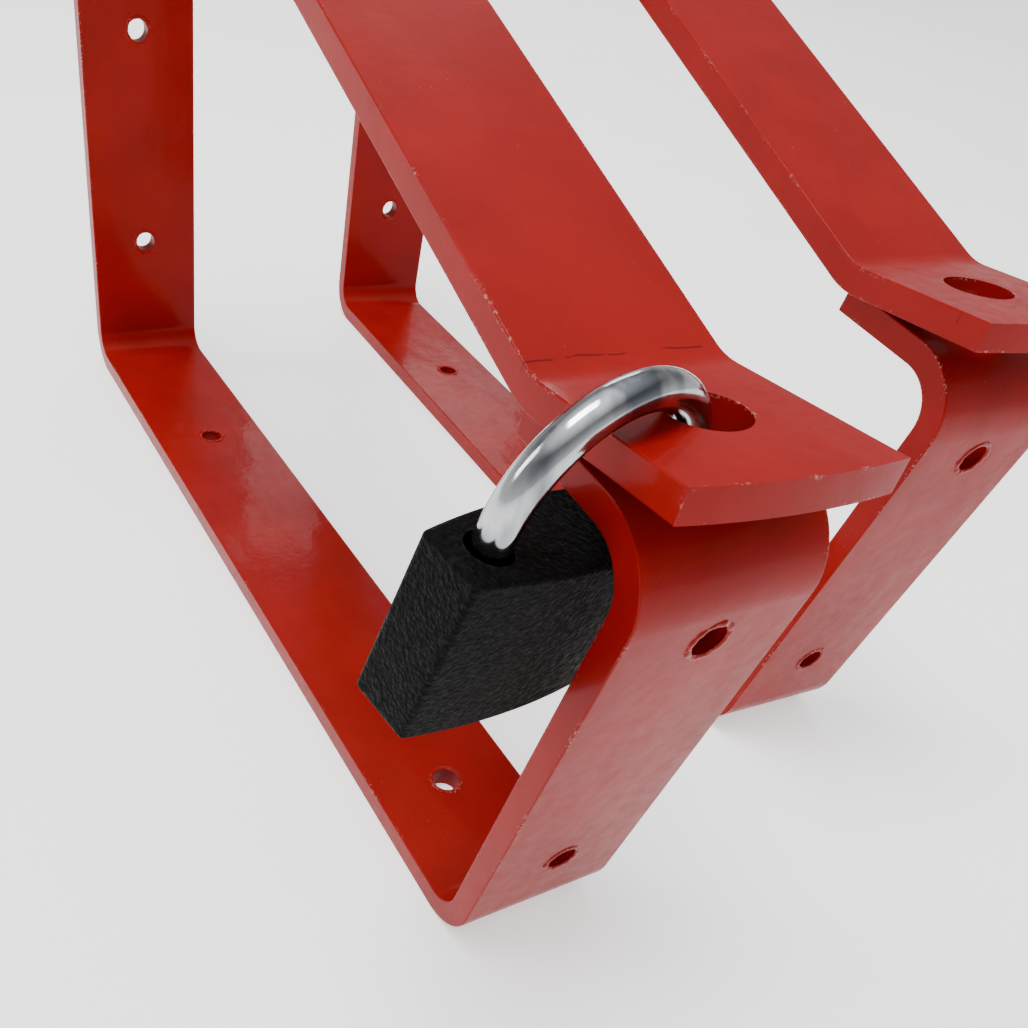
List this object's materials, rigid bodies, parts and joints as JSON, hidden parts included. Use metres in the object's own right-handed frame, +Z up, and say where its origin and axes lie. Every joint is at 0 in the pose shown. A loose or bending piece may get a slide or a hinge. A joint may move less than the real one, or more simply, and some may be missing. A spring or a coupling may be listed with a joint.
{
  "type": "lockable wall storage bracket pair",
  "caption": "Pair of bent flat-bar wall hooks with swing-down straps; a padlock closes one strap over its hook.",
  "frame": {"origin": "on the near bracket's wall face, midway between its two screw holes", "axes": "+Y into the wall, +Z up, +X along the wall towards the second bracket"},
  "size_m": [0.1518, 0.2689, 0.1777],
  "materials": {
    "red_enamel": "gloss enamel over bent steel bar",
    "plated_steel": "zinc plated",
    "black_crinkle_coat": "black crinkle coat",
    "polished_chrome": "polished chrome plate",
    "brass": "turned",
    "cast_zinc": "as cast"
  },
  "bodies": {
    "frames": {"near_bracket_frame": "red_enamel", "far_bracket_frame": "red_enamel", "near_hinge_pin": "plated_steel", "far_hinge_pin": "plated_steel", "near_hinge_washer": "plated_steel", "far_hinge_washer": "plated_steel"},
    "near_strap_body": {"near_strap": "red_enamel"},
    "far_strap_body": {"far_strap": "red_enamel"},
    "padlock": {"padlock_shell": "black_crinkle_coat", "padlock_core": "cast_zinc", "padlock_base_plate": "plated_steel", "shackle_spring": "plated_steel", "shackle_stop_pin": "plated_steel", "driver_pin_1": "plated_steel", "driver_pin_2": "plated_steel", "driver_pin_3": "plated_steel", "driver_pin_4": "plated_steel", "pin_spring_1": "plated_steel", "pin_spring_2": "plated_steel", "pin_spring_3": "plated_steel", "pin_spring_4": "plated_steel"},
    "shackle": {"padlock_shackle": "polished_chrome"},
    "latch": {"padlock_latch": "plated_steel"},
    "plug": {"padlock_plug": "brass", "key_pin_1": "brass", "key_pin_2": "brass", "key_pin_3": "brass", "key_pin_4": "brass"}
  },
  "joints": [
    {"name": "far_strap_hinge", "type": "hinge", "parent": "frames", "child": "far_strap_body", "pos_m": [0.09403, 0.01536, 0.10638], "axis": [-0.9987, 0.0506, 0], "range_deg": [0, 105]},
    {"name": "near_strap_hinge", "type": "hinge", "parent": "frames", "child": "near_strap_body", "pos_m": [0, -0.00725, 0.10638], "axis": [-1, 0, 0], "range_deg": [0, 0.05]},
    {"name": "padlock_swing", "type": "hinge", "parent": "near_strap_body", "child": "shackle", "pos_m": [-0.01657, -0.22721, 0.0425], "axis": [1, 0, 0], "range_deg": [-0.5, 1]},
    {"name": "body_drop", "type": "slide", "parent": "shackle", "child": "padlock", "axis": [-0.1599, 0.1117, -0.9808], "range_m": [0, 0.009]},
    {"name": "plug_turn", "type": "hinge", "parent": "padlock", "child": "plug", "pos_m": [-0.01909, -0.22568, -0.00053], "axis": [0.1599, -0.1117, 0.9808], "range_deg": [0, 90]},
    {"name": "latch_slide", "type": "slide", "parent": "padlock", "child": "latch", "axis": [-0.9706, -0.1989, 0.1356], "range_m": [0, 0.00362]}
  ],
  "couplings": [
    {"joint": "plug_turn", "follows": "body_drop", "rad_per_m": 174.5},
    {"joint": "latch_slide", "follows": "body_drop", "ratio": 0.4}
  ]
}
